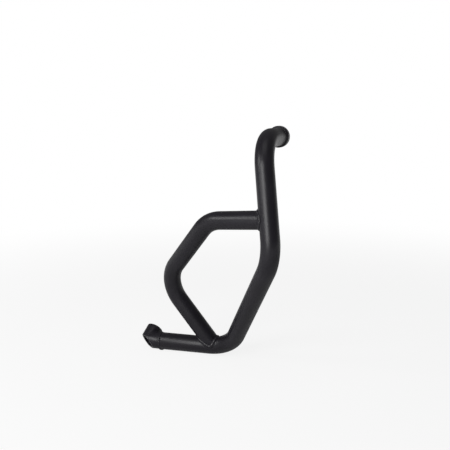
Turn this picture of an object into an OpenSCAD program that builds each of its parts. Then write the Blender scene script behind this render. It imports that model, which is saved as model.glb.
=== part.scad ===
// Crash bar for the lower right-hand side of a motorcycle: a bent main tube, a bent brace coped into it
// at both ends, a flush bolted top end and a mitred, cut-open elbow at the rear end.
// Millimetres. +X is forward, +Y is inward to the frame, +Z is up. The origin is the centre of the top
// mounting face.

/* [Tubes] */
// Outside diameter of the main tube
tube_d = 27; // [27:0.5:30]
// Outside diameter of the brace tube, a little under the main tube so that its cope closes
brace_d = 26.5; // [22:0.5:26.5]
// Wall of both tubes
tube_wall = 2; // [1.5:0.1:2.5]
// Centre line radius of every bend
bend_r = 52; // [46:1:56]

/* [Main tube route] */
// Corner of the top bend, outward of the mounting face
top_out = 88; // [80:1:96]
// Corner of the knee, forward of the mount
knee_forward = 26; // [15:1:35]
// Corner of the knee, outward of the mount
knee_out = 127; // [115:1:140]
// Corner of the knee, below the mount
knee_drop = 158; // [145:1:170]
// Corner of the heel, behind the mount
heel_back = 68; // [55:1:80]
// Corner of the heel, outward of the mount
heel_out = 25; // [15:1:35]
// Height of the level run below the mount
heel_drop = 328; // [315:1:345]
// Corner of the rear elbow, behind the mount
rear_back = 204; // [190:0.5:220]
// Corner of the rear elbow, outward of the mount
rear_out = 38; // [28:1:48]

/* [Brace route] */
// Height of the upper joint below the mount
brace_top_drop = 107; // [98:1:115]
// How far the centre line of the brace passes inside that of the main tube at the upper joint
brace_inset = 2.5; // [0:0.5:4]
// Corner of the upper brace bend, behind the mount
elbow_back = 79.5; // [70:0.5:90]
// Corner of the upper brace bend, outward of the mount
elbow_out = 88; // [78:1:98]
// Corner of the upper brace bend, below the mount
elbow_drop = 117; // [108:1:125]
// Rearmost corner of the brace, behind the mount
bow_back = 170.5; // [160:0.5:180]
// Rearmost corner of the brace, outward of the mount
bow_out = 43; // [33:1:53]
// Rearmost corner of the brace, below the mount
bow_drop = 223; // [210:1:235]
// Foot of the brace on the run, behind the corner of the heel
foot_back = 26.7; // [22:0.5:36]

/* [Top end] */
// Outside diameter of the collar round the tube end
collar_d = 32; // [31:0.5:38]
// Thickness of the collar
collar_t = 9; // [6:0.5:14]
// Length of the threaded bung in the tube end
bung_l = 24; // [18:1:32]
// Tapping diameter of the M10 thread in the bung
thread_d = 8.5; // [6.8:0.1:10.2]
// Depth of the threaded hole
thread_l = 20; // [12:1:24]

/* [Rear end] */
// Outside diameter of the sleeve and the stub, which meet in a mitre
rear_d = 26.5; // [24:0.5:27]
// Wall of the sleeve and the stub
rear_wall = 2.6; // [2:0.2:3.4]
// Length of the sleeve from its shoulder to the corner of the elbow
sleeve_l = 21.5; // [18:0.5:26]
// Length of the spigot of the sleeve inside the run
spigot_l = 12; // [8:1:20]
// Length of the stub from the corner of the elbow to its mounting face
stub_l = 22; // [19:0.5:28]
// Rise of the stub above level, in degrees
stub_rise = 35.7; // [30:0.3:42]
// Turn of the stub forward of straight inward, in degrees
stub_turn = 8.8; // [3:0.2:15]
// Distance of the cut-off mouth outside the corner of the elbow
mouth_out = 3.6; // [1:0.2:6]
// Dip of the mouth below level, in degrees
mouth_dip = 26.4; // [20:0.3:33]
// Turn of the mouth to the rear of straight outward, in degrees
mouth_turn = 39; // [32:1:46]
// Thickness of the drilled seat in the far end of the stub
seat_t = 5; // [4:0.5:8]
// Diameter of the bolt hole in the seat
bolt_hole_d = 10.5; // [6.6:0.1:11]

/* [Welds] */
// Leg of the fillet welds
weld_leg = 3; // [2:0.1:4]
// Width of the bead of the ring weld on the run
ring_bead_w = 4; // [3:0.1:5]
// Height of the ring bead above the run and the sleeve
ring_bead_h = 0.9; // [0.4:0.1:1.5]
// Width of the low bead round the mitre
mitre_bead_w = 5; // [3:0.5:7]
// Height of the low bead round the mitre
mitre_bead_h = 0.4; // [0.2:0.1:0.8]

/* [Hidden] */
$fn = 96;

// Clearance all round a piece that slides into another
fit_gap = 0.1;
// Overrun of every cut past the face that it opens
cut_over = 1;
// Overlap of the two halves of the elbow where its weld is cut to them
mitre_over = 0.05;
// How much the tube draws down on its radius in a bend
bend_draw = 0.02;
// How far the drawn stretch reaches past the bend into the straights
bend_reach = 0.5;
// Depth of the drill point in the bung, as a share of the hole's radius
drill_point_share = 0.6;
// Chamfer at the rims of the turned pieces
rim_chamfer = 0.8;
// Chamfer of the seat, which its weld fills
seat_chamfer = 1.6;
// Width of each sloping flank of the ring bead, as a share of the bead's width
bead_flank_share = 0.25;

tube_r = tube_d / 2;
tube_bore_r = tube_r - tube_wall;
brace_r = brace_d / 2;
brace_bore_r = brace_r - tube_wall;
collar_r = collar_d / 2;
bung_r = tube_bore_r - fit_gap;
thread_r = thread_d / 2;
spigot_r = tube_bore_r - fit_gap;
rear_r = rear_d / 2;
rear_bore_r = rear_r - rear_wall;
seat_r = rear_bore_r - fit_gap;
bolt_hole_r = bolt_hole_d / 2;
ring_bead_half = ring_bead_w / 2;
ring_bead_flank = ring_bead_w * bead_flank_share;
// Half-spaces are cut with a drum as wide and as deep as this, well past the elbow
cut_drum = 3 * rear_d;

// Route of the main tube: its ends and the corners of its bends
mount = [0, 0, 0];
top_corner = [0, -top_out, 0];
knee_corner = [knee_forward, -knee_out, -knee_drop];
heel_corner = [-heel_back, -heel_out, -heel_drop];
rear_corner = [-rear_back, -rear_out, -heel_drop];
run_way = unit(rear_corner - heel_corner);
run_end = rear_corner - sleeve_l * run_way;
main_route = [mount, top_corner, knee_corner, heel_corner, run_end];

// Route of the brace: it starts beside the centre line of the upper leg and ends on the run
leg_way = unit(knee_corner - top_corner);
brace_start = top_corner + leg_way * brace_top_drop / -leg_way.z + [0, brace_inset, 0];
elbow_corner = [-elbow_back, -elbow_out, -elbow_drop];
bow_corner = [-bow_back, -bow_out, -bow_drop];
brace_foot = heel_corner + foot_back * run_way;
brace_route = [brace_start, elbow_corner, bow_corner, brace_foot];

// Directions of the stub, of the line square to the mitre and of the line out of the mouth
stub_way = heading(stub_rise, stub_turn);
mitre_way = unit(run_way + stub_way);
mouth_way = -heading(mouth_dip, mouth_turn);

function unit(v) = v / norm(v);

// Unit vector that points inward, turned forward and raised
function heading(rise, turn) = [cos(rise) * sin(turn), cos(rise) * cos(turn), sin(rise)];

// Turn of a route at corner i
function turn_at(route, i) = acos(unit(route[i] - route[i - 1]) * unit(route[i + 1] - route[i]));

// Length that the bend at point i takes from the straight on each side, zero at the ends
function bend_take(route, i) =
    i == 0 || i == len(route) - 1 ? 0 : bend_r * tan(turn_at(route, i) / 2);

// Stands its children on point at, with their Z axis along way and their X axis near the side given
module stand_along(at, way, side = [0, 0, 1]) {
    z = unit(way);
    y = unit(cross(z, side));
    x = cross(y, z);
    multmatrix([[x.x, y.x, z.x, at.x], [x.y, y.y, z.y, at.y], [x.z, y.z, z.z, at.z]]) children();
}

// Round bar of radius r along a bent route: straights, and arcs of a torus between them
module bent_rod(route, r) {
    last = len(route) - 1;
    for (i = [0 : last - 1]) {
        way = unit(route[i + 1] - route[i]);
        from = route[i] + way * bend_take(route, i);
        to = route[i + 1] - way * bend_take(route, i + 1);
        stand_along(from, way) cylinder(h = norm(to - from), r = r);
    }
    for (i = [1 : last - 1]) bend_arc(route, i, r - bend_draw);
}

// The arc of the bend at corner i, run on a little into both straights
module bend_arc(route, i, r) {
    in_way = unit(route[i] - route[i - 1]);
    out_way = unit(route[i + 1] - route[i]);
    turn = turn_at(route, i);
    axis = unit(cross(in_way, out_way));
    to_start = cross(in_way, axis);
    centre = route[i] - in_way * bend_take(route, i) - to_start * bend_r;
    reach = asin(bend_reach / bend_r);
    stand_along(centre, axis, to_start)
        rotate([0, 0, -reach])
            rotate_extrude(angle = turn + 2 * reach) translate([bend_r, 0]) circle(r = r);
}

// Route with its first and last points moved outward by over, so that a bore cuts clean through
function run_over(route, over) = [
    for (i = [0 : len(route) - 1])
        i == 0 ? route[0] - over * unit(route[1] - route[0])
        : i == len(route) - 1 ? route[i] + over * unit(route[i] - route[i - 1])
        : route[i]
];

// Ring about the Z axis with chamfered rims
module turned_ring(h, outer_r, inner_r, chamfer) {
    rotate_extrude()
        polygon([
            [inner_r, 0], [outer_r - chamfer, 0], [outer_r, chamfer], [outer_r, h - chamfer],
            [outer_r - chamfer, h], [inner_r, h]
        ]);
}

// Half-space that starts at point at and lies along way
module beyond(at, way) {
    stand_along(at, way) cylinder(h = cut_drum, r = cut_drum);
}

// Everything outside the mouth of the elbow
module mouth_cut() {
    beyond(rear_corner + mouth_out * mouth_way, mouth_way);
}

// Round bar of radius r along the sleeve, from its shoulder to the mitre or a little past it
module sleeve_rod(r, past = 0) {
    difference() {
        stand_along(run_end, run_way) cylinder(h = sleeve_l + rear_d, r = r);
        beyond(rear_corner + past * mitre_way, mitre_way);
    }
}

// Round bar of radius r along the stub, from the mitre or a little before it to its mounting face
module stub_rod(r, past = 0) {
    difference() {
        stand_along(rear_corner - rear_d * stub_way, stub_way) cylinder(h = rear_d + stub_l, r = r);
        beyond(rear_corner - past * mitre_way, -mitre_way);
    }
}

module main_tube() {
    color([0.16, 0.155, 0.17])
        difference() {
            bent_rod(main_route, tube_r);
            bent_rod(run_over(main_route, cut_over), tube_bore_r);
        }
}

module brace_tube() {
    color([0.16, 0.155, 0.17])
        difference() {
            bent_rod(brace_route, brace_r);
            bent_rod(run_over(brace_route, cut_over), brace_bore_r);
            bent_rod(main_route, tube_r);
        }
}

module top_collar() {
    color([0.16, 0.155, 0.17])
        stand_along(mount, [0, -1, 0]) turned_ring(collar_t, collar_r, tube_r, rim_chamfer);
}

module top_collar_weld() {
    leg_r = min(weld_leg, collar_r - rim_chamfer - tube_r);
    color([0.2, 0.195, 0.21])
        stand_along([0, -collar_t, 0], [0, -1, 0])
            rotate_extrude()
                polygon([[tube_r, 0], [tube_r + leg_r, 0], [tube_r, weld_leg]]);
}

module top_bung() {
    color([0.55, 0.55, 0.57])
        stand_along(mount, [0, -1, 0])
            difference() {
                turned_ring(bung_l, bung_r, 0, rim_chamfer);
                translate([0, 0, -cut_over]) cylinder(h = thread_l + cut_over, r = thread_r);
                translate([0, 0, thread_l])
                    cylinder(h = thread_r * drill_point_share, r1 = thread_r, r2 = 0);
            }
}

// Bead along the seam of two routes: where both tubes, grown by the leg, overlap outside both
module saddle_bead(route_a, r_a, route_b, r_b, leg) {
    difference() {
        intersection() {
            bent_rod(route_a, r_a + leg);
            bent_rod(route_b, r_b + leg);
        }
        bent_rod(run_over(route_a, cut_over), r_a);
        bent_rod(run_over(route_b, cut_over), r_b);
    }
}

module upper_joint_weld() {
    color([0.2, 0.195, 0.21])
        saddle_bead([top_corner + leg_way * bend_take(main_route, 1), knee_corner], tube_r,
            [brace_start, elbow_corner], brace_r, weld_leg);
}

module lower_joint_weld() {
    color([0.2, 0.195, 0.21])
        saddle_bead([knee_corner, heel_corner, run_end], tube_r, [bow_corner, brace_foot], brace_r,
            weld_leg);
}

module rear_sleeve() {
    color([0.16, 0.155, 0.17])
        difference() {
            union() {
                sleeve_rod(rear_r);
                stand_along(run_end - spigot_l * run_way, run_way)
                    cylinder(h = spigot_l + cut_over, r = spigot_r);
            }
            stand_along(run_end - (spigot_l + cut_over) * run_way, run_way)
                cylinder(h = spigot_l + sleeve_l + cut_drum, r = rear_bore_r);
            mouth_cut();
        }
}

module rear_sleeve_weld() {
    crown_r = max(tube_r, rear_r) + ring_bead_h;
    color([0.2, 0.195, 0.21])
        stand_along(run_end - run_way * ring_bead_half, run_way)
            rotate_extrude()
                polygon([
                    [tube_r, 0], [crown_r, ring_bead_flank], [crown_r, ring_bead_w - ring_bead_flank],
                    [rear_r, ring_bead_w], [rear_r, ring_bead_half], [tube_r, ring_bead_half]
                ]);
}

module rear_stub() {
    color([0.16, 0.155, 0.17])
        difference() {
            stub_rod(rear_r);
            stand_along(rear_corner - 2 * rear_d * stub_way, stub_way)
                cylinder(h = 2 * rear_d + stub_l + cut_over, r = rear_bore_r);
            mouth_cut();
        }
}

// Low bead round the mitre. It ends its own height short of the shoulder and of the mounting face
module rear_stub_weld() {
    color([0.2, 0.195, 0.21])
        difference() {
            intersection() {
                union() {
                    sleeve_rod(rear_r + mitre_bead_h, mitre_over);
                    stub_rod(rear_r + mitre_bead_h, mitre_over);
                }
                stand_along(rear_corner - mitre_way * mitre_bead_w / 2, mitre_way)
                    cylinder(h = mitre_bead_w, r = cut_drum);
            }
            sleeve_rod(rear_r, mitre_over);
            stub_rod(rear_r, mitre_over);
            beyond(run_end + mitre_bead_h * run_way, -run_way);
            beyond(rear_corner + (stub_l - mitre_bead_h) * stub_way, stub_way);
            mouth_cut();
        }
}

module rear_seat() {
    color([0.55, 0.55, 0.57])
        stand_along(rear_corner + (stub_l - seat_t) * stub_way, stub_way)
            difference() {
                rotate_extrude()
                    polygon([
                        [0, 0], [seat_r, 0], [seat_r, seat_t - seat_chamfer],
                        [seat_r - seat_chamfer, seat_t], [0, seat_t]
                    ]);
                translate([0, 0, -cut_over]) cylinder(h = seat_t + 2 * cut_over, r = bolt_hole_r);
            }
}

module rear_seat_weld() {
    color([0.2, 0.195, 0.21])
        stand_along(rear_corner + (stub_l - seat_chamfer) * stub_way, stub_way)
            rotate_extrude()
                polygon([
                    [seat_r, 0], [rear_bore_r, 0], [rear_bore_r, seat_chamfer],
                    [seat_r - seat_chamfer, seat_chamfer]
                ]);
}

main_tube();
brace_tube();
top_collar();
top_collar_weld();
top_bung();
upper_joint_weld();
lower_joint_weld();
rear_sleeve();
rear_sleeve_weld();
rear_stub();
rear_stub_weld();
rear_seat();
rear_seat_weld();
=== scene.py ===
"""Looks of a motorcycle crash bar.

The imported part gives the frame. Each of its pieces is modelled again here at the same sizes and in the same
place, with smooth surfaces, small radii at its rims and rippled weld beads, and dressed in satin black powder
coat or turned steel. Lengths are in metres: +X forward, +Y inward, +Z up, from the centre of the top mounting
face.
"""

import logging
import math
import random
from dataclasses import dataclass, field
from enum import Enum
from typing import Any, Iterable, Sequence

import bpy
from mathutils import Matrix, Quaternion, Vector


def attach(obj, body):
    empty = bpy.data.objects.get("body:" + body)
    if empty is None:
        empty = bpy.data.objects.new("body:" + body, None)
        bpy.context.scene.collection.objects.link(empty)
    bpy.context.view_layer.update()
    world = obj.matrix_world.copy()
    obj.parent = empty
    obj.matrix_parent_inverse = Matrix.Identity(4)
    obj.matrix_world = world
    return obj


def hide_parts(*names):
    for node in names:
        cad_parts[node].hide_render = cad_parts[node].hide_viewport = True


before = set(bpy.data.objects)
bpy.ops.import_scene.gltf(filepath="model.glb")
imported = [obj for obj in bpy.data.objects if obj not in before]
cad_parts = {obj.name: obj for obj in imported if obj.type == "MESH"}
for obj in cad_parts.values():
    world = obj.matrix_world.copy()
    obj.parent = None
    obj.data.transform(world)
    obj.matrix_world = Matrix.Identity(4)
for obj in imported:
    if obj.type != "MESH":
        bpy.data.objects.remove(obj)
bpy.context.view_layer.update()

log = logging.getLogger("crash_bar")

MM = 0.001
RING = 96  # edges round a tube
BEND_STEP = math.radians(2.5)  # turn between two rings of a bend
MERGE = 0.002 * MM  # points closer than this become one
QUAD_SIDES = 4
RIM_ANGLE = math.radians(50)  # an edge that turns more than this is a rim
SEAM_POINTS = 120  # points round a closed seam
SEAM_REACH = 60 * MM  # a branch's wall has left its host before this
SEAM_HALVINGS = 40  # steps that close in on a point of a seam
WHITE = (1, 1, 1, 1)


class Slot(Enum):
    """Material slots that the record names."""

    BAR_COAT = "bar_coat"
    WELD_COAT = "weld_coat"
    TURNED_STEEL = "turned_steel"


class Crease(Enum):
    """Angle up to which two faces shade as one surface."""

    TURNED = math.radians(25)
    TUBE = math.radians(35)
    BEAD = math.radians(50)


Finishes = dict[Slot, bpy.types.Material]


# Sizes


def mm(*values: float) -> Vector:
    """Point or offset given in millimetres."""
    return Vector(values) * MM


def heading(rise: float, turn: float) -> Vector:
    """Unit vector that points inward, turned forward and raised.

    Args:
        rise: degrees above level.
        turn: degrees forward of straight inward.

    Returns:
        The direction.
    """
    r, t = math.radians(rise), math.radians(turn)
    return Vector((math.cos(r) * math.sin(t), math.cos(r) * math.cos(t), math.sin(r)))


@dataclass(frozen=True)
class Bend:
    """Arc of a bent tube's centre line.

    Attributes:
        centre: middle of the arc.
        axis: line that it turns about.
        to_start: from the centre towards the start of the arc.
        way: direction of the arc at its start.
        turn: how far it turns, in radians.
    """

    centre: Vector
    axis: Vector
    to_start: Vector
    way: Vector
    turn: float


@dataclass(frozen=True)
class Route:
    """Centre line of a tube: straights, with a round bend at each inner corner."""

    corners: tuple[Vector, ...]
    bend_r: float = 52 * MM

    @property
    def last(self) -> int:
        """Index of the last corner."""
        return len(self.corners) - 1

    def way(self, i: int) -> Vector:
        """Direction of the straight after corner i."""
        return (self.corners[i + 1] - self.corners[i]).normalized()

    def take(self, i: int) -> float:
        """Length that a bend takes from the straight on each side of it.

        Args:
            i: index of the bend's corner.

        Returns:
            The length, zero at both ends of the route.
        """
        if i in (0, self.last):
            return 0.0
        return self.bend_r * math.tan(self.way(i - 1).angle(self.way(i)) / 2)

    def straight(self, i: int) -> tuple[Vector, Vector]:
        """First and last point of the straight after corner i."""
        way = self.way(i)
        return self.corners[i] + way * self.take(i), self.corners[i + 1] - way * self.take(i + 1)

    def bend(self, i: int) -> Bend:
        """The arc at an inner corner.

        Args:
            i: index of the corner.

        Returns:
            The arc.
        """
        way, after = self.way(i - 1), self.way(i)
        axis = way.cross(after).normalized()
        to_start = way.cross(axis)
        centre = self.corners[i] - way * self.take(i) - to_start * self.bend_r
        return Bend(centre, axis, to_start, way, way.angle(after))

    def nearest(self, point: Vector) -> Vector:
        """Point of the centre line that lies nearest to a point.

        Args:
            point: any point.

        Returns:
            The nearest point, on a straight or on an arc.
        """
        found = []
        for i in range(self.last):
            start, end = self.straight(i)
            span = end - start
            share = max(0.0, min(1.0, (point - start).dot(span) / span.length_squared))
            found.append(start + span * share)
        for i in range(1, self.last):
            bend = self.bend(i)
            v = point - bend.centre
            turn = max(0.0, min(bend.turn, math.atan2(v.dot(bend.way), v.dot(bend.to_start))))
            arm = bend.to_start * math.cos(turn) + bend.way * math.sin(turn)
            found.append(bend.centre + arm * self.bend_r)
        return min(found, key=lambda p: (p - point).length)


# Bench work


def let_go() -> None:
    """Leaves edit mode and selects nothing."""
    if bpy.context.object and bpy.context.object.mode != "OBJECT":
        bpy.ops.object.mode_set(mode="OBJECT")
    bpy.ops.object.select_all(action="DESELECT")


def take_up(piece: bpy.types.Object) -> None:
    """Makes one piece the only selected and active one.

    Args:
        piece: the piece.
    """
    let_go()
    piece.select_set(True)
    bpy.context.view_layer.objects.active = piece


def edit(piece: bpy.types.Object, select: str = "SELECT", kind: str = "VERT") -> None:
    """Opens a piece in edit mode.

    Args:
        piece: the piece.
        select: SELECT for everything in it, or DESELECT for nothing.
        kind: what is selected from then on, VERT, EDGE or FACE.
    """
    take_up(piece)
    bpy.ops.object.mode_set(mode="EDIT")
    bpy.ops.mesh.select_mode(type=kind)
    bpy.ops.mesh.select_all(action=select)


def turned_to(way: Vector) -> Quaternion:
    """Rotation that stands the Z axis along a direction."""
    return way.to_track_quat("Z", "Y")


def bake_place(piece: bpy.types.Object) -> None:
    """Writes a piece's place and turn into its mesh, so that its object sits at the origin."""
    take_up(piece)
    bpy.ops.object.transform_apply(location=True, rotation=True, scale=True)


def apply_modifier(piece: bpy.types.Object, kind: str, **settings: Any) -> None:
    """Adds a modifier with its settings and applies it.

    Args:
        piece: the piece that it works on.
        kind: the modifier's type.
        settings: its properties.
    """
    take_up(piece)
    modifier = piece.modifiers.new(kind.lower(), kind)
    for name, value in settings.items():
        setattr(modifier, name, value)
    bpy.ops.object.modifier_apply(modifier=modifier.name)


def carve(piece: bpy.types.Object, cutter: bpy.types.Object) -> None:
    """Cuts one piece out of another and throws the cutter away."""
    apply_modifier(piece, "BOOLEAN", operation="DIFFERENCE", solver="EXACT", object=cutter)
    bpy.data.objects.remove(cutter)


def tidy_mesh(piece: bpy.types.Object) -> None:
    """Merges doubles and turns every face of a closed mesh outward.

    Args:
        piece: the piece.
    """
    edit(piece)
    bpy.ops.mesh.remove_doubles(threshold=MERGE)
    bpy.ops.mesh.normals_make_consistent(inside=False)
    let_go()


def shade(piece: bpy.types.Object, crease: Crease) -> None:
    """Shades a piece smooth, apart from the edges that turn more than the crease."""
    take_up(piece)
    bpy.ops.object.shade_smooth_by_angle(angle=crease.value)


def soften_rims(piece: bpy.types.Object, width: float, segments: int = 2) -> None:
    """Rounds the sharp edges of a piece and shades it smooth between them.

    Args:
        piece: the piece.
        width: width of the rounding.
        segments: faces across it.
    """
    apply_modifier(
        piece,
        "BEVEL",
        width=width,
        segments=segments,
        limit_method="ANGLE",
        angle_limit=RIM_ANGLE,
        use_clamp_overlap=True,
    )
    shade(piece, Crease.TUBE)


def ring_at(name: str, radius: float, at: Vector, way: Vector) -> bpy.types.Object:
    """Adds a ring of edges, as the start of a tube or a turned piece.

    Args:
        name: name of the new piece.
        radius: radius of the ring.
        at: its centre.
        way: direction that it lies square to.

    Returns:
        The ring.
    """
    let_go()
    bpy.ops.mesh.primitive_circle_add(
        vertices=RING, radius=radius, location=at, rotation=turned_to(way).to_euler()
    )
    ring = bpy.context.object
    ring.name = ring.data.name = name
    bake_place(ring)
    return ring


def bent_rod(name: str, route: Route, radius: float) -> bpy.types.Object:
    """Draws a closed round rod along a route: extruded on the straights, spun round the bends.

    Args:
        name: name of the new piece.
        route: its centre line.
        radius: its outer radius.

    Returns:
        The rod, with a flat cap of many edges at each end.
    """
    rod = ring_at(name, radius, route.corners[0], route.way(0))
    edit(rod)
    for i in range(route.last):
        start, end = route.straight(i)
        bpy.ops.mesh.extrude_region_move(TRANSFORM_OT_translate={"value": end - start})
        if i + 1 < route.last:
            bend = route.bend(i + 1)
            bpy.ops.mesh.spin(
                steps=math.ceil(bend.turn / BEND_STEP),
                angle=bend.turn,
                center=bend.centre,
                axis=-bend.axis,
            )
    bpy.ops.mesh.select_all(action="SELECT")
    bpy.ops.mesh.fill_holes(sides=0)
    tidy_mesh(rod)
    return rod


def open_ends(rod: bpy.types.Object) -> None:
    """Takes the flat caps off a rod, so that a wall can be given to it.

    Args:
        rod: the rod, whose caps are its only faces of more than four sides.
    """
    edit(rod, "DESELECT", "FACE")
    bpy.ops.mesh.select_face_by_sides(number=QUAD_SIDES, type="GREATER")
    bpy.ops.mesh.delete(type="ONLY_FACE")
    let_go()


def turned(
    name: str, profile: Sequence[tuple[float, float]], at: Vector, way: Vector
) -> bpy.types.Object:
    """Turns a closed profile about an axis: a ring drawn out and resized from point to point.

    Args:
        name: name of the new piece.
        profile: radius and height of each corner, round the section.
        at: point on the axis at height zero.
        way: direction of the axis.

    Returns:
        The closed piece.
    """
    first_r, first_z = profile[0]
    piece = ring_at(name, first_r, Vector((0, 0, first_z)), Vector((0, 0, 1)))
    edit(piece)
    for (r0, z0), (r1, z1) in zip(profile, (*profile[1:], profile[0])):
        bpy.ops.mesh.extrude_region_move(TRANSFORM_OT_translate={"value": (0, 0, z1 - z0)})
        grow = r1 / r0
        bpy.ops.transform.resize(value=(grow, grow, 1), center_override=(0, 0, z1))
    tidy_mesh(piece)
    piece.location = at
    piece.rotation_euler = turned_to(way).to_euler()
    bake_place(piece)
    return piece


def block_beyond(at: Vector, way: Vector, size: float = 90 * MM) -> bpy.types.Object:
    """Cutter that fills the space on one side of a plane.

    Args:
        at: point on the plane.
        way: direction from the plane into the space that is cut.
        size: edge of the block, larger than any piece that it cuts.

    Returns:
        The block.
    """
    let_go()
    bpy.ops.mesh.primitive_cube_add(
        size=size, location=at + way * size / 2, rotation=turned_to(way).to_euler()
    )
    block = bpy.context.object
    bake_place(block)
    return block


# Weld beads


@dataclass(frozen=True)
class BeadPoint:
    """One place on a seam: where it is, and which way is outward from both walls."""

    at: Vector
    out: Vector


@dataclass(frozen=True)
class Ripple:
    """Shape of one ripple of a bead.

    Attributes:
        along: half its size along the seam.
        across: half its size across the seam.
        out: half its size outward.
        sink: how far its middle lies inward of the seam.
        lean: how far it leans along the seam, in radians.
    """

    along: float
    across: float
    out: float
    sink: float = 0.0
    lean: float = 0.35


@dataclass(frozen=True)
class Lump:
    """Rounded lump beside a bead: its place and its three half sizes."""

    place: Matrix
    size: Vector


@dataclass
class WeldBead:
    """Bead laid along a seam as overlapping ripples, run together and smoothed.

    Attributes:
        name: name of the finished piece.
        path: the seam.
        ripple: shape of one ripple.
        closed: whether the seam ends where it starts.
        pitch: step from ripple to ripple.
        grain: size of the cells that run the ripples together.
        seed: start of the bead's own random draws.
        lumps: lumps that run into the bead.
        uneven: share by which a ripple's size may differ.
        passes: how often the bead is smoothed.
    """

    name: str
    path: list[BeadPoint]
    ripple: Ripple
    closed: bool = True
    pitch: float = 1.7 * MM
    grain: float = 0.34 * MM
    seed: int = 3
    lumps: tuple[Lump, ...] = ()
    uneven: float = 0.06
    passes: int = 5

    def spaced(self) -> list[tuple[BeadPoint, Vector]]:
        """Steps evenly along the seam.

        Returns:
            The point at each step, with the direction of the seam there.
        """
        short_of_end = 0.999999  # keeps the last step on the last stretch
        points = [*self.path, self.path[0]] if self.closed else list(self.path)
        lengths = [(b.at - a.at).length for a, b in zip(points, points[1:])]
        total = sum(lengths)
        count = max(2, round(total / self.pitch))
        marks: list[tuple[BeadPoint, Vector]] = []
        i, passed = 0, 0.0
        for k in range(count if self.closed else count + 1):
            want = min(total * k / count, total * short_of_end)
            while passed + lengths[i] < want:
                passed += lengths[i]
                i += 1
            a, b = points[i], points[i + 1]
            share = (want - passed) / lengths[i]
            along = (b.at - a.at).normalized()
            marks.append((BeadPoint(a.at.lerp(b.at, share), a.out.slerp(b.out, share)), along))
        return marks

    def one_ripple(self) -> bpy.types.Object:
        """Presses a ball to the half sizes of the ripple.

        Returns:
            The shape that every ripple copies.
        """
        let_go()
        bpy.ops.mesh.primitive_uv_sphere_add(segments=20, ring_count=10, radius=1)
        ball = bpy.context.object
        edit(ball)
        r = self.ripple
        bpy.ops.transform.resize(value=(r.along, r.across, r.out), center_override=(0, 0, 0))
        let_go()
        return ball

    def one_lump(self, lump: Lump) -> bpy.types.Object:
        """Presses a ball to the half sizes of a lump and puts it in its place.

        Args:
            lump: the lump.

        Returns:
            Its shape.
        """
        let_go()
        bpy.ops.mesh.primitive_ico_sphere_add(subdivisions=4, radius=1)
        ball = bpy.context.object
        ball.data.transform(lump.place @ Matrix.Diagonal((*lump.size, 1)))
        return ball

    def ripple_place(self, point: BeadPoint, along: Vector, grow: float) -> Matrix:
        """Place, turn and size of one ripple.

        Args:
            point: its point on the seam.
            along: direction of the seam there.
            grow: its size beside that of the others.

        Returns:
            The whole as one matrix.
        """
        out = (point.out - along * point.out.dot(along)).normalized()
        lean = Quaternion(out.cross(along), self.ripple.lean)
        x, z = lean @ along, lean @ out
        y = z.cross(x)
        turn = Matrix((x, y, z)).transposed().to_4x4()
        place = Matrix.Translation(point.at - out * self.ripple.sink) @ turn
        return place @ Matrix.Scale(grow, 4)

    def lay(self) -> bpy.types.Object:
        """Lays the ripples and runs them together.

        Returns:
            The bead as one closed, smoothed mesh.
        """
        chance = random.Random(self.seed)
        master = self.one_ripple()
        parts = []
        for point, along in self.spaced():
            grow = 1 + chance.uniform(-self.uneven, self.uneven)
            parts.append(self.copy_of(master, self.ripple_place(point, along, grow)))
        parts += [self.one_lump(lump) for lump in self.lumps]
        bpy.data.objects.remove(master)
        let_go()
        for part in parts:
            part.select_set(True)
        bpy.context.view_layer.objects.active = parts[0]
        bpy.ops.object.join()
        bead = bpy.context.object
        bead.name = bead.data.name = self.name
        bake_place(bead)
        apply_modifier(bead, "REMESH", mode="VOXEL", voxel_size=self.grain)
        apply_modifier(bead, "SMOOTH", factor=0.5, iterations=self.passes)
        take_up(bead)
        bpy.ops.object.shade_smooth()
        return bead

    @staticmethod
    def copy_of(master: bpy.types.Object, place: Matrix) -> bpy.types.Object:
        """Copies the ripple, with a mesh of its own.

        Args:
            master: the shape that every ripple copies.
            place: where the copy goes.

        Returns:
            The copy.
        """
        twin = master.copy()
        twin.data = master.data.copy()
        twin.data.transform(place)
        bpy.context.scene.collection.objects.link(twin)
        return twin


def ring_path(centre: Vector, way: Vector, radius: float, tilt: float = 0.0) -> list[BeadPoint]:
    """Seam round a tube.

    Args:
        centre: centre of the ring.
        way: axis of the tube.
        radius: radius of the ring.
        tilt: how far outward leans along the axis, in radians.

    Returns:
        The points of the ring.
    """
    side = turned_to(way) @ Vector((1, 0, 0))
    points = []
    for k in range(SEAM_POINTS):
        arm = Quaternion(way, math.tau * k / SEAM_POINTS) @ side
        out = arm * math.cos(tilt) + way * math.sin(tilt)
        points.append(BeadPoint(centre + arm * radius, out))
    return points


def saddle_path(
    host: Route, host_r: float, foot: Vector, way: Vector, branch_r: float
) -> list[BeadPoint]:
    """Seam where a straight branch stands on a bent tube.

    Args:
        host: route of the tube that carries the branch.
        host_r: its outer radius.
        foot: end of the branch's centre line, on that of the host.
        way: direction of the branch, away from the host.
        branch_r: its outer radius.

    Returns:
        The points of the seam, each found along one line of the branch's wall.
    """
    side = turned_to(way) @ Vector((1, 0, 0))
    points = []
    for k in range(SEAM_POINTS):
        arm = Quaternion(way, math.tau * k / SEAM_POINTS) @ side
        near, far = 0.0, SEAM_REACH
        for _ in range(SEAM_HALVINGS):
            half = (near + far) / 2
            at = foot + arm * branch_r + way * half
            if (at - host.nearest(at)).length < host_r:
                near = half
            else:
                far = half
        at = foot + arm * branch_r + way * near
        up = (at - host.nearest(at)).normalized()
        points.append(BeadPoint(at, (up + arm).normalized()))
    return points


# Shader maths


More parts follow.
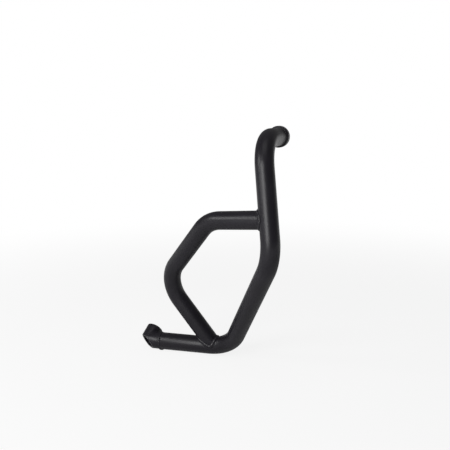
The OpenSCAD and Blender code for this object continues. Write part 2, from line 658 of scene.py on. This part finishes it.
class Wire:
    """One output socket of a material, with sums and products written as Python."""

    def __init__(self, sheet: "Sheet", socket: bpy.types.NodeSocket) -> None:
        """Wraps a socket of a sheet."""
        self.sheet = sheet
        self.socket = socket

    def math(self, operation: str, *others: Any) -> "Wire":
        """A Math node on this wire and up to two more values."""
        values = dict(enumerate((self, *others)))
        return self.sheet.node("ShaderNodeMath", {"operation": operation}, values)

    def __add__(self, other: Any) -> "Wire":
        """Sum."""
        return self.math("ADD", other)

    def __radd__(self, other: float) -> "Wire":
        """Sum with a number on the left."""
        return self.math("ADD", other)

    def __sub__(self, other: Any) -> "Wire":
        """Difference."""
        return self.math("SUBTRACT", other)

    def __rsub__(self, other: float) -> "Wire":
        """A number less this wire."""
        return self.sheet.node("ShaderNodeMath", {"operation": "SUBTRACT"}, {0: other, 1: self})

    def __mul__(self, other: Any) -> "Wire":
        """Product."""
        return self.math("MULTIPLY", other)

    def __rmul__(self, other: float) -> "Wire":
        """Product with a number on the left."""
        return self.math("MULTIPLY", other)

    def span(self, low: float, high: float) -> "Wire":
        """Rises smoothly from 0 at low to 1 at high."""
        return self.sheet.node(
            "ShaderNodeMapRange",
            {"interpolation_type": "SMOOTHSTEP"},
            {"Value": self, "From Min": low, "From Max": high},
        )


class Sheet:
    """Node sheet of one material or world."""

    def __init__(self, tree: bpy.types.NodeTree) -> None:
        """Takes over a node tree and empties it."""
        self.tree = tree
        tree.nodes.clear()

    def add(
        self, kind: str, settings: dict[str, Any], sockets: dict[Any, Any]
    ) -> bpy.types.Node:
        """Adds any node.

        Args:
            kind: its type.
            settings: its properties, set before its sockets.
            sockets: values or wires by socket name or number.

        Returns:
            The node.
        """
        node = self.tree.nodes.new(kind)
        for name, value in settings.items():
            setattr(node, name, value)
        for key, value in sockets.items():
            if isinstance(value, Wire):
                self.tree.links.new(value.socket, node.inputs[key])
            else:
                node.inputs[key].default_value = value
        return node

    def node(
        self, kind: str, settings: dict[str, Any], sockets: dict[Any, Any], output: Any = 0
    ) -> Wire:
        """Any node, as the wire from one of its outputs, by name or number."""
        return Wire(self, self.add(kind, settings, sockets).outputs[output])

    def vector(self, operation: str, sockets: dict[Any, Any], output: str = "Vector") -> Wire:
        """A Vector Math node, whose output is a Vector or a number, its Value."""
        return self.node("ShaderNodeVectorMath", {"operation": operation}, sockets, output)

    def place(self) -> Wire:
        """Object coordinates."""
        return self.node("ShaderNodeTexCoord", {}, {}, "Object")

    def noise(self, at: Wire, size: float, detail: float = 2.0) -> Wire:
        """Noise from 0 to 1 whose blobs are about as wide as size, in metres."""
        return self.node(
            "ShaderNodeTexNoise",
            {"noise_dimensions": "3D"},
            {"Vector": at, "Scale": 1 / size, "Detail": detail},
        )

    def mix_colour(self, share: Wire, a: Any, b: Any) -> Wire:
        """Mix of two colours, each of which is three numbers or a wire."""
        first, second = (c if isinstance(c, Wire) else (*c, 1.0) for c in (a, b))
        return self.node("ShaderNodeMix", {"data_type": "RGBA"}, {0: share, 6: first, 7: second}, 2)

    def bump(self, height: Wire, depth: float, strength: float = 1.0) -> Wire:
        """Normal from a height of 0 to 1 that stands for depth, in metres."""
        return self.node(
            "ShaderNodeBump", {}, {"Height": height, "Distance": depth, "Strength": strength}
        )

    def blend(self, share: Wire, a: Wire, b: Wire) -> Wire:
        """Mix of two shaders."""
        return self.node("ShaderNodeMixShader", {}, {0: share, 1: a, 2: b})

    def finish(self, shader: Wire, output: str = "ShaderNodeOutputMaterial") -> None:
        """Ends the sheet in its output."""
        self.add(output, {}, {"Surface": shader})


def new_material(name: str) -> tuple[bpy.types.Material, Sheet]:
    """Makes an empty node material.

    Args:
        name: its name.

    Returns:
        The material and its sheet.
    """
    material = bpy.data.materials.new(name)
    material.use_nodes = True
    return material, Sheet(material.node_tree)


@dataclass(frozen=True)
class PowderCoat:
    """Satin powder coat: near black, with a faint orange peel and a fine grain."""

    name: str
    dark: tuple[float, float, float] = (0.0056, 0.0047, 0.0078)
    light: tuple[float, float, float] = (0.0082, 0.0070, 0.0110)
    roughness: float = 0.39
    gloss: float = 0.35
    peel: float = 1.5 * MM
    peel_depth: float = 0.010 * MM
    grain: float = 0.28 * MM
    grain_depth: float = 0.0035 * MM
    grain_rough: float = 0.07
    cloud: float = 34 * MM
    cloud_edge: tuple[float, float] = (0.3, 0.7)
    cloud_rough: float = 0.08
    detail: float = 3

    def material(self) -> bpy.types.Material:
        """Builds the material.

        Returns:
            The material.
        """
        material, sheet = new_material(self.name)
        at = sheet.place()
        peel = sheet.noise(at, self.peel)
        grain = sheet.noise(at, self.grain, self.detail)
        cloud = sheet.noise(at, self.cloud, self.detail)
        height = peel * (self.peel_depth / self.grain_depth) + grain
        rough = (cloud - 0.5) * self.cloud_rough
        shader = sheet.node(
            "ShaderNodeBsdfPrincipled",
            {},
            {
                "Base Color": sheet.mix_colour(cloud.span(*self.cloud_edge), self.dark, self.light),
                "Roughness": self.roughness + rough + (grain - 0.5) * self.grain_rough,
                "Specular IOR Level": self.gloss,
                "Normal": sheet.bump(height, self.grain_depth),
            },
        )
        sheet.finish(shader)
        return material


@dataclass(frozen=True)
class TurnedSteel:
    """Turned steel with fine tool rings about an axis and a thin film of oil and rust."""

    name: str
    centre: tuple[float, float, float]
    axis: tuple[float, float, float]
    bright: tuple[float, float, float] = (0.46, 0.46, 0.47)
    dull: tuple[float, float, float] = (0.30, 0.295, 0.29)
    dull_edge: tuple[float, float] = (0.35, 0.65)
    stain: tuple[float, float, float] = (0.19, 0.12, 0.075)
    stain_share: float = 0.6
    stain_edge: tuple[float, float] = (0.45, 0.65)
    roughness: float = 0.3
    cloud_rough: float = 0.14
    stain_rough: float = 0.3
    stain_cover: float = 0.7
    cloud: float = 5 * MM
    speck: float = 0.9 * MM
    speck_edge: tuple[float, float] = (0.62, 0.75)
    feed: float = 0.32 * MM
    feed_depth: float = 0.006 * MM
    feed_strength: float = 0.7

    def tool_rings(self, sheet: Sheet, at: Wire) -> Wire:
        """Rings that the tool leaves round and along the axis.

        Args:
            sheet: the node sheet.
            at: place on the piece.

        Returns:
            Their height, from 0 to 1.
        """
        from_centre = sheet.vector("SUBTRACT", {0: at, 1: self.centre})
        along = sheet.vector("DOT_PRODUCT", {0: from_centre, 1: self.axis}, "Value")
        foot = sheet.vector("SCALE", {0: self.axis, "Scale": along})
        arm = sheet.vector("SUBTRACT", {0: from_centre, 1: foot})
        radius = sheet.vector("LENGTH", {0: arm}, "Value")
        return ((radius + along) * (math.tau / self.feed)).math("SINE") * 0.5 + 0.5

    def material(self) -> bpy.types.Material:
        """Builds the material.

        Returns:
            The material.
        """
        material, sheet = new_material(self.name)
        at = sheet.place()
        cloud = sheet.noise(at, self.cloud, 4)
        specks = sheet.noise(at, self.speck, 3).span(*self.speck_edge) * cloud.span(*self.stain_edge)
        metal = sheet.mix_colour(cloud.span(*self.dull_edge), self.dull, self.bright)
        rings = self.tool_rings(sheet, at)
        shader = sheet.node(
            "ShaderNodeBsdfPrincipled",
            {},
            {
                "Base Color": sheet.mix_colour(specks * self.stain_share, metal, self.stain),
                "Metallic": 1 - specks * self.stain_cover,
                "Roughness": self.roughness + cloud * self.cloud_rough + specks * self.stain_rough,
                "Normal": sheet.bump(rings, self.feed_depth, self.feed_strength),
            },
        )
        sheet.finish(shader)
        return material


# Pieces


def hand_over(piece: bpy.types.Object, node: str, slot: Slot, finishes: Finishes) -> None:
    """Dresses a finished piece and lets it stand for its node.

    Args:
        piece: the finished piece, its object at the origin.
        node: the part's node that it stands for.
        slot: the record's slot that its finish comes from.
        finishes: the material of each slot.
    """
    material = finishes[slot]
    piece.name = piece.data.name = f"{node}_skin"
    piece.data.materials.clear()
    piece.data.materials.append(material)
    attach(piece, "root")
    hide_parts(node)
    log.info("%s: %d faces, %s", node, len(piece.data.polygons), material.name)


@dataclass
class Tubes:
    """The two bent tubes, the brace coped to the main tube at both ends."""

    tube_r: float = 13.5 * MM
    brace_r: float = 13.25 * MM
    wall: float = 2 * MM
    brace_top_drop: float = 107 * MM
    brace_inset: float = 2.5 * MM
    foot_back: float = 26.7 * MM
    sleeve_l: float = 21.5 * MM
    rim: float = 0.35 * MM
    top: Vector = field(default_factory=lambda: mm(0, -88, 0))
    knee: Vector = field(default_factory=lambda: mm(26, -127, -158))
    heel: Vector = field(default_factory=lambda: mm(-68, -25, -328))
    rear: Vector = field(default_factory=lambda: mm(-204, -38, -328))
    elbow: Vector = field(default_factory=lambda: mm(-79.5, -88, -117))
    bow: Vector = field(default_factory=lambda: mm(-170.5, -43, -223))
    upper_ripple: Ripple = Ripple(along=1.9 * MM, across=3.5 * MM, out=2.8 * MM, lean=0.2)
    lower_ripple: Ripple = Ripple(along=1.9 * MM, across=3.1 * MM, out=2.2 * MM, lean=0.22)

    def __post_init__(self) -> None:
        """Works out the routes of both tubes."""
        self.run_way = (self.rear - self.heel).normalized()
        self.run_end = self.rear - self.run_way * self.sleeve_l
        self.main = Route((mm(0, 0, 0), self.top, self.knee, self.heel, self.run_end))
        leg_way = (self.knee - self.top).normalized()
        self.brace_start = (
            self.top + leg_way * (self.brace_top_drop / -leg_way.z) + Vector((0, self.brace_inset, 0))
        )
        self.brace_foot = self.heel + self.run_way * self.foot_back
        self.brace = Route((self.brace_start, self.elbow, self.bow, self.brace_foot))

    def walled(self, name: str, route: Route, radius: float) -> bpy.types.Object:
        """Makes a bent tube with its wall, open at both ends.

        Args:
            name: name of the tube.
            route: its centre line.
            radius: its outer radius.

        Returns:
            The tube.
        """
        tube = bent_rod(name, route, radius)
        open_ends(tube)
        apply_modifier(tube, "SOLIDIFY", thickness=self.wall, offset=-1, use_even_offset=True)
        return tube

    def main_tube(self) -> bpy.types.Object:
        """Makes the main tube, with its rims rounded off.

        Returns:
            The tube.
        """
        tube = self.walled("main_tube_skin", self.main, self.tube_r)
        soften_rims(tube, self.rim)
        return tube

    def brace_tube(self) -> bpy.types.Object:
        """Makes the brace, cut to the round of the main tube at both ends.

        Returns:
            The tube.
        """
        tube = self.walled("brace_tube_skin", self.brace, self.brace_r)
        carve(tube, bent_rod("cope_cutter", self.main, self.tube_r))
        tidy_mesh(tube)
        shade(tube, Crease.TUBE)
        return tube

    def joint_weld(
        self, name: str, foot: Vector, toward: Vector, ripple: Ripple, seed: int
    ) -> bpy.types.Object:
        """Lays the bead round one end of the brace.

        Args:
            name: name of the bead.
            foot: end of the brace's centre line, on that of the main tube.
            toward: next corner of the brace.
            ripple: shape of one ripple.
            seed: start of the bead's own random draws.

        Returns:
            The bead.
        """
        way = (toward - foot).normalized()
        path = saddle_path(self.main, self.tube_r, foot, way, self.brace_r)
        return WeldBead(name, path, ripple, seed=seed).lay()

    def upper_weld(self) -> bpy.types.Object:
        """Bead round the top end of the brace."""
        ripple, start = self.upper_ripple, self.brace_start
        return self.joint_weld("upper_joint_weld_skin", start, self.elbow, ripple, seed=3)

    def lower_weld(self) -> bpy.types.Object:
        """Bead round the foot of the brace."""
        ripple, foot = self.lower_ripple, self.brace_foot
        return self.joint_weld("lower_joint_weld_skin", foot, self.bow, ripple, seed=8)

    def build(self, finishes: Finishes) -> None:
        """Makes and dresses the tubes and their joint welds.

        Args:
            finishes: the material of each slot.
        """
        hand_over(self.main_tube(), "main_tube", Slot.BAR_COAT, finishes)
        hand_over(self.brace_tube(), "brace_tube", Slot.BAR_COAT, finishes)
        hand_over(self.upper_weld(), "upper_joint_weld", Slot.WELD_COAT, finishes)
        hand_over(self.lower_weld(), "lower_joint_weld", Slot.WELD_COAT, finishes)


@dataclass
class TopEnd:
    """Collar, its weld and the threaded bung at the top mount.

    Attributes:
        thread_from: from the mounting face to the first groove.
        thread_left: length of the hole that has no grooves.
        groove: where a groove's upper edge, root and lower edge lie, as shares of the pitch.
        point_r: radius at the tip of the drilled hole and at the back of the bung, before both are closed.
    """

    tubes: Tubes
    collar_r: float = 16 * MM
    collar_t: float = 9 * MM
    chamfer: float = 0.8 * MM
    rim: float = 0.5 * MM
    rim_faces: int = 3
    bung_r: float = 11.4 * MM
    bung_l: float = 24 * MM
    thread_r: float = 4.25 * MM
    thread_depth: float = 0.62 * MM
    thread_pitch: float = 1.5 * MM
    thread_l: float = 20 * MM
    thread_from: float = 0.9 * MM
    thread_left: float = 3 * MM
    groove: tuple[float, float, float] = (0.86, 0.5, 0.14)
    drill_point: float = 2.55 * MM
    point_r: float = 0.05 * MM
    weld_tilt: float = 1.0
    ripple: Ripple = Ripple(along=1.5 * MM, across=1.7 * MM, out=1.5 * MM, lean=0.22)
    face: Vector = field(default_factory=lambda: mm(0, 0, 0))
    out: Vector = field(default_factory=lambda: Vector((0, -1, 0)))

    def collar(self) -> bpy.types.Object:
        """Makes the round collar on the tube end.

        Returns:
            The collar.
        """
        r, t, c, bore = self.collar_r, self.collar_t, self.chamfer, self.tubes.tube_r
        profile = [(bore, 0), (r - c, 0), (r, c), (r, t - c), (r - c, t), (bore, t)]
        piece = turned("top_collar_skin", profile, self.face, self.out)
        soften_rims(piece, self.rim, self.rim_faces)
        return piece

    def collar_weld(self) -> bpy.types.Object:
        """Fillet between the collar and the tube."""
        path = ring_path(self.out * self.collar_t, self.out, self.tubes.tube_r, self.weld_tilt)
        return WeldBead("top_collar_weld_skin", path, self.ripple, seed=5).lay()

    def bung(self) -> bpy.types.Object:
        """Makes the bung, with the grooves of its thread in the hole.

        Returns:
            The bung.
        """
        r, t, c = self.bung_r, self.bung_l, self.chamfer
        crest, root = self.thread_r, self.thread_r + self.thread_depth
        hole = [(self.point_r, self.thread_l + self.drill_point), (crest, self.thread_l)]
        turns = int((self.thread_l - self.thread_left) / self.thread_pitch)
        for k in reversed(range(turns)):
            z = self.thread_from + k * self.thread_pitch
            for radius, share in zip((crest, root, crest), self.groove):
                hole.append((radius, z + self.thread_pitch * share))
        hole.append((root, 0))
        profile = [(self.point_r, t), (r - c, t), (r, t - c), (r, c), (r - c, 0)]
        piece = turned("top_bung_skin", [*reversed(hole), *profile], self.face, self.out)
        edit(piece)
        bpy.ops.mesh.fill_holes(sides=0)
        tidy_mesh(piece)
        shade(piece, Crease.TURNED)
        return piece

    def build(self, coats: Finishes) -> None:
        """Makes and dresses the top end.

        Args:
            coats: the material of each coated slot.
        """
        steel = TurnedSteel("turned_steel_bung", tuple(self.face), tuple(self.out))
        finishes = {**coats, Slot.TURNED_STEEL: steel.material()}
        hand_over(self.collar(), "top_collar", Slot.BAR_COAT, finishes)
        hand_over(self.collar_weld(), "top_collar_weld", Slot.WELD_COAT, finishes)
        hand_over(self.bung(), "top_bung", Slot.TURNED_STEEL, finishes)


@dataclass
class RearEnd:
    """Mitred, cut-open elbow at the rear mount: sleeve, stub, drilled seat and their welds.

    Attributes:
        stub_rise, stub_turn, mouth_rise, mouth_turn: directions, in degrees.
        overrun: length by which the sleeve and the stub are made too long before they are cut.
        mitre_steps: points round the whole mitre.
        mouth_spare: how far the mitre's bead is laid past the mouth before it is cut flush.
        mouth_clear: how far the cut bead stays behind the mouth.
        bead_sunk: how far the ring bead's middle lies below the run's surface.
        lump_back: from the ring weld to the middle of its lump, along the run.
        lump_way: direction from the run's centre line to the lump.
        seat_weld_in, seat_weld_under: from the bore and from the mounting face to the seat's seam.
    """

    tubes: Tubes
    r: float = 13.25 * MM
    bore: float = 10.65 * MM
    spigot_r: float = 11.4 * MM
    spigot_l: float = 12 * MM
    stub_l: float = 22 * MM
    stub_rise: float = 35.7
    stub_turn: float = 8.8
    mouth_rise: float = 26.4
    mouth_turn: float = 39
    mouth_out: float = 3.6 * MM
    mouth_spare: float = 1 * MM
    mouth_clear: float = 0.05 * MM
    mitre_steps: int = 180
    mitre_ripple: Ripple = Ripple(along=1.3 * MM, across=2.1 * MM, out=1.0 * MM, sink=0.55 * MM)
    seat_t: float = 5 * MM
    seat_r: float = 10.55 * MM
    seat_chamfer: float = 1.6 * MM
    seat_ease: float = 0.4 * MM
    seat_weld_in: float = 0.75 * MM
    seat_weld_under: float = 0.35 * MM
    seat_weld_tilt: float = 1.4
    seat_ripple: Ripple = Ripple(along=0.9 * MM, across=0.8 * MM, out=0.8 * MM)
    bolt_r: float = 5.25 * MM
    bead_w: float = 4 * MM
    bead_h: float = 0.9 * MM
    bead_sunk: float = 0.4 * MM
    bead_along: float = 1.3 * MM
    lump_back: float = 1.7 * MM
    lump_way: Vector = field(default_factory=lambda: Vector((0.03, -0.36, -0.93)))
    lump_size: Vector = field(default_factory=lambda: mm(3.7, 3.0, 1.55))
    rim: float = 0.5 * MM
    overrun: float = 40 * MM

    def __post_init__(self) -> None:
        """Works out the directions of the stub, the mitre and the mouth."""
        self.corner = self.tubes.rear
        self.stub_way = heading(self.stub_rise, self.stub_turn)
        self.face = self.corner + self.stub_way * self.stub_l
        self.mitre_way = (self.tubes.run_way + self.stub_way).normalized()
        self.mouth_way = -heading(self.mouth_rise, self.mouth_turn)
        self.mouth_at = self.corner + self.mouth_way * self.mouth_out

    def cut_elbow(self, piece: bpy.types.Object, past_mitre: Vector) -> bpy.types.Object:
        """Cuts one half of the elbow at the mitre and at the mouth, and rounds its rims.

        Args:
            piece: the sleeve or the stub, made too long.
            past_mitre: direction from the mitre into what is cut off.

        Returns:
            The same piece.
        """
        carve(piece, block_beyond(self.corner, past_mitre))
        carve(piece, block_beyond(self.mouth_at, self.mouth_way))
        soften_rims(piece, self.rim)
        return piece

    def sleeve(self) -> bpy.types.Object:
        """Makes the sleeve with its spigot.

        Returns:
            The sleeve.
        """
        end = self.tubes.sleeve_l + self.overrun
        profile = [
            (self.bore, -self.spigot_l),
            (self.spigot_r, -self.spigot_l),
            (self.spigot_r, 0),
            (self.r, 0),
            (self.r, end),
            (self.bore, end),
        ]
        piece = turned("rear_sleeve_skin", profile, self.tubes.run_end, self.tubes.run_way)
        return self.cut_elbow(piece, self.mitre_way)

    def stub(self) -> bpy.types.Object:
        """Makes the stub.

        Returns:
            The stub.
        """
        profile = [
            (self.bore, -self.overrun),
            (self.r, -self.overrun),
            (self.r, self.stub_l),
            (self.bore, self.stub_l),
        ]
        piece = turned("rear_stub_skin", profile, self.corner, self.stub_way)
        return self.cut_elbow(piece, -self.mitre_way)

    def mitre_path(self) -> list[BeadPoint]:
        """Seam of the mitre, from one edge of the mouth round the inside to the other.

        Returns:
            The points of the seam.
        """
        run, slope, steps = self.tubes.run_way, self.mitre_way, self.mitre_steps
        side = turned_to(run) @ Vector((1, 0, 0))
        ring: list[BeadPoint | None] = []
        for k in range(steps):
            arm = Quaternion(run, math.tau * k / steps) @ side
            at = self.corner + arm * self.r - run * (arm.dot(slope) * self.r / run.dot(slope))
            over = at - self.corner
            stub_arm = (over - self.stub_way * over.dot(self.stub_way)).normalized()
            kept = (at - self.mouth_at).dot(self.mouth_way) < self.mouth_spare
            ring.append(BeadPoint(at, (arm + stub_arm).normalized()) if kept else None)
        first = 1 + max(k for k in range(steps) if ring[k] is None and ring[(k + 1) % steps])
        return [point for point in (*ring[first:], *ring[:first]) if point is not None]

    def cut_flush(self, bead: bpy.types.Object, at: Vector, way: Vector) -> bpy.types.Object:
        """Cuts a bead flush with a plane and shades it again.

        Args:
            bead: the bead.
            at: point on the plane.
            way: direction from the plane into what is cut off.

        Returns:
            The same bead.
        """
        carve(bead, block_beyond(at, way))
        shade(bead, Crease.BEAD)
        return bead

    def mitre_weld(self) -> bpy.types.Object:
        """Lays a low bead along the mitre, cut flush with the mouth.

        Returns:
            The bead.
        """
        bead = WeldBead(
            "rear_stub_weld_skin",
            self.mitre_path(),
            self.mitre_ripple,
            closed=False,
            pitch=1.4 * MM,
            grain=0.26 * MM,
            seed=11,
        ).lay()
        return self.cut_flush(bead, self.mouth_at - self.mouth_way * self.mouth_clear, self.mouth_way)

    def ring_weld(self) -> bpy.types.Object:
        """Lays the bead between the run and the sleeve, with a lump underneath where it was run off.

        Returns:
            The bead.
        """
        way, r = self.tubes.run_way, self.tubes.tube_r
        down = (self.lump_way - way * self.lump_way.dot(way)).normalized()
        centre = self.tubes.run_end - way * self.lump_back + down * r
        place = Matrix((way, down.cross(way), down)).transposed().to_4x4()
        lump = Lump(Matrix.Translation(centre) @ place, self.lump_size)
        return WeldBead(
            "rear_sleeve_weld_skin",
            ring_path(self.tubes.run_end, way, r - self.bead_sunk),
            Ripple(self.bead_along, self.bead_w / 2, self.bead_h + self.bead_sunk),
            pitch=1.5 * MM,
            grain=0.26 * MM,
            seed=4,
            lumps=(lump,),
        ).lay()

    def seat(self) -> bpy.types.Object:
        """Makes the drilled disc that the bolt clamps.

        Returns:
            The disc.
        """
        r, t, c, b, e = self.seat_r, self.seat_t, self.seat_chamfer, self.bolt_r, self.seat_ease
        profile = [(b + e, 0), (r, 0), (r, t - c), (r - c, t), (b + e, t), (b, t - e), (b, e)]
        at = self.corner + self.stub_way * (self.stub_l - t)
        piece = turned("rear_seat_skin", profile, at, self.stub_way)
        shade(piece, Crease.TURNED)
        return piece

    def seat_weld(self) -> bpy.types.Object:
        """Lays the bead in the chamfer round the seat, ground flush with the mounting face.

        Returns:
            The bead.
        """
        centre = self.face - self.stub_way * self.seat_weld_under
        radius = self.bore - self.seat_weld_in
        bead = WeldBead(
            "rear_seat_weld_skin",
            ring_path(centre, self.stub_way, radius, self.seat_weld_tilt),
            self.seat_ripple,
            pitch=1.1 * MM,
            grain=0.17 * MM,
            seed=6,
        ).lay()
        return self.cut_flush(bead, self.face, self.stub_way)

    def build(self, coats: Finishes) -> None:
        """Makes and dresses the rear end.

        Args:
            coats: the material of each coated slot.
        """
        steel = TurnedSteel("turned_steel_seat", tuple(self.corner), tuple(self.stub_way))
        finishes = {**coats, Slot.TURNED_STEEL: steel.material()}
        hand_over(self.sleeve(), "rear_sleeve", Slot.BAR_COAT, finishes)
        hand_over(self.ring_weld(), "rear_sleeve_weld", Slot.WELD_COAT, finishes)
        hand_over(self.stub(), "rear_stub", Slot.BAR_COAT, finishes)
        hand_over(self.mitre_weld(), "rear_stub_weld", Slot.WELD_COAT, finishes)
        hand_over(self.seat(), "rear_seat", Slot.TURNED_STEEL, finishes)
        hand_over(self.seat_weld(), "rear_seat_weld", Slot.WELD_COAT, finishes)


# Studio


@dataclass(frozen=True)
class Softbox:
    """Rectangular lamp, set by the direction and distance at which it stands from the part."""

    name: str
    azimuth: float
    elevation: float
    distance: float
    width: float
    height: float
    watts: float

    def hang(self, target: Vector) -> None:
        """Hangs the lamp and turns it to the target.

        Args:
            target: the point that it lights.
        """
        a, e = math.radians(self.azimuth), math.radians(self.elevation)
        arm = Vector((math.cos(e) * math.sin(a), -math.cos(e) * math.cos(a), math.sin(e)))
        lamp = bpy.data.lights.new(self.name, "AREA")
        lamp.shape, lamp.size, lamp.size_y = "RECTANGLE", self.width, self.height
        lamp.energy = self.watts
        box = bpy.data.objects.new(self.name, lamp)
        bpy.context.scene.collection.objects.link(box)
        box.location = target + arm * self.distance
        box.rotation_euler = turned_to(arm).to_euler()
        box.visible_camera = False


@dataclass
class Studio:
    """Pale floor, soft lamps and the camera at the photograph's angle.

    Attributes:
        floor_r, floor_rim: radius of the floor and width of its outer ring, before that is spread.
        floor_spread: how many times further out the outer edge is then moved.
        floor_white: share of plain white that the camera sees in the floor near the part.
        fade: distances from the origin between which the floor turns to plain white.
        backdrop_way: direction of the white backdrop that gloss shows.
        backdrop_edge: cosines of the angle from that direction between which it comes in.
        backdrop_top: heights of the direction between which it goes out.
        azimuth, pitch: degrees by which the camera stands forward of square, and looks down.
    """

    target: Vector = field(default_factory=lambda: mm(-80, -65, -165))
    lamps: tuple[Softbox, ...] = (
        Softbox("key_box", -14, 21, distance=1.7, width=0.82, height=0.8, watts=20.0),
        Softbox("side_box", -54, 27, distance=1.7, width=0.5, height=0.42, watts=7.2),
        Softbox("top_box", 20, 76, distance=1.8, width=1.2, height=1.0, watts=4.0),
    )
    floor_z: float = -341.6 * MM
    floor_r: float = 1.2
    floor_rim: float = 0.4
    floor_spread: float = 30
    floor_colour: tuple[float, float, float, float] = (0.8, 0.8, 0.8, 1)
    floor_white: float = 0.85
    fade: tuple[float, float] = (0.5, 1.4)
    world_level: float = 0.2
    backdrop_way: tuple[float, float, float] = (0.3, 0.95, 0.0)
    backdrop_edge: tuple[float, float] = (0.72, 0.92)
    backdrop_top: tuple[float, float] = (0.02, 0.2)
    camera_at: Vector = field(default_factory=lambda: mm(251.62, -928.28, 35.74))
    azimuth: float = 20
    pitch: float = 10
    lens: float = 51.2
    sensor: float = 36
    clip: tuple[float, float] = (0.02, 100)

    def white_share(self, sheet: Sheet, to_camera: float | Wire, in_gloss: Wire) -> Wire:
        """How much of the backdrop's plain white a ray sees.

        Args:
            sheet: the node sheet.
            to_camera: share that the camera sees.
            in_gloss: share that gloss and glass show.

        Returns:
            The share, zero for the rays that carry light.
        """
        rays = sheet.add("ShaderNodeLightPath", {}, {}).outputs
        kinds = ("Is Camera Ray", "Is Glossy Ray", "Is Transmission Ray")
        seen, gloss, glass = (Wire(sheet, rays[kind]) for kind in kinds)
        return (seen * to_camera + (gloss + glass) * in_gloss).math("MINIMUM", 1.0)

    def floor(self) -> None:
        """Lays a round pale floor that runs out to plain white."""
        let_go()
        bpy.ops.mesh.primitive_circle_add(
            vertices=RING, radius=self.floor_r, fill_type="NGON", location=(0, 0, self.floor_z)
        )
        disc = bpy.context.object
        disc.name = disc.data.name = "studio_floor"
        bake_place(disc)
        edit(disc)
        bpy.ops.mesh.inset(thickness=self.floor_rim)
        bpy.ops.mesh.select_all(action="INVERT")
        spread = (self.floor_spread, self.floor_spread, 1)
        bpy.ops.transform.resize(value=spread, center_override=(0, 0, self.floor_z))
        let_go()
        material, sheet = new_material("pale_floor")
        far = sheet.vector("LENGTH", {0: sheet.place()}, "Value").span(*self.fade)
        share = self.white_share(sheet, self.floor_white + far * (1 - self.floor_white), far)
        matt = sheet.node("ShaderNodeBsdfDiffuse", {}, {"Color": self.floor_colour})
        white = sheet.node("ShaderNodeEmission", {}, {"Color": WHITE, "Strength": 1.0})
        sheet.finish(sheet.blend(share, matt, white))
        disc.data.materials.append(material)

    def world(self) -> None:
        """Soft grey light from all round, white to the camera and towards the backdrop in gloss."""
        world = bpy.data.worlds.new("studio")
        world.use_nodes = True
        bpy.context.scene.world = world
        sheet = Sheet(world.node_tree)
        grey, white = (
            sheet.node("ShaderNodeBackground", {}, {"Color": WHITE, "Strength": level})
            for level in (self.world_level, 1.0)
        )
        way = sheet.node("ShaderNodeTexCoord", {}, {}, "Generated")
        toward = sheet.vector("DOT_PRODUCT", {0: way, 1: self.backdrop_way}, "Value")
        low = 1 - sheet.node("ShaderNodeSeparateXYZ", {}, {0: way}, "Z").span(*self.backdrop_top)
        share = self.white_share(sheet, 1.0, toward.span(*self.backdrop_edge) * low)
        sheet.finish(sheet.blend(share, grey, white), "ShaderNodeOutputWorld")

    def camera(self) -> None:
        """Sets the camera at the photograph's angle."""
        let_go()
        bpy.ops.object.camera_add(
            location=self.camera_at,
            rotation=(math.radians(90 - self.pitch), 0, math.radians(self.azimuth)),
        )
        camera = bpy.context.object
        camera.data.lens = self.lens
        camera.data.sensor_width = self.sensor
        camera.data.clip_start, camera.data.clip_end = self.clip
        bpy.context.scene.camera = camera

    def build(self) -> None:
        """Sets up the camera, the light and the floor."""
        self.camera()
        self.world()
        for lamp in self.lamps:
            lamp.hang(self.target)
        self.floor()
        bpy.context.scene.view_settings.view_transform = "Standard"


def main() -> None:
    """Builds every sub-assembly in order, then the studio."""
    logging.basicConfig(level=logging.INFO, format="%(name)s: %(message)s")
    coats = {
        Slot.BAR_COAT: PowderCoat("satin_black_coat").material(),
        Slot.WELD_COAT: PowderCoat("satin_black_weld_coat", roughness=0.36, peel=0.9 * MM).material(),
    }
    tubes = Tubes()
    tubes.build(coats)
    TopEnd(tubes).build(coats)
    RearEnd(tubes).build(coats)
    Studio().build()
    let_go()


if __name__ == "__main__":
    main()
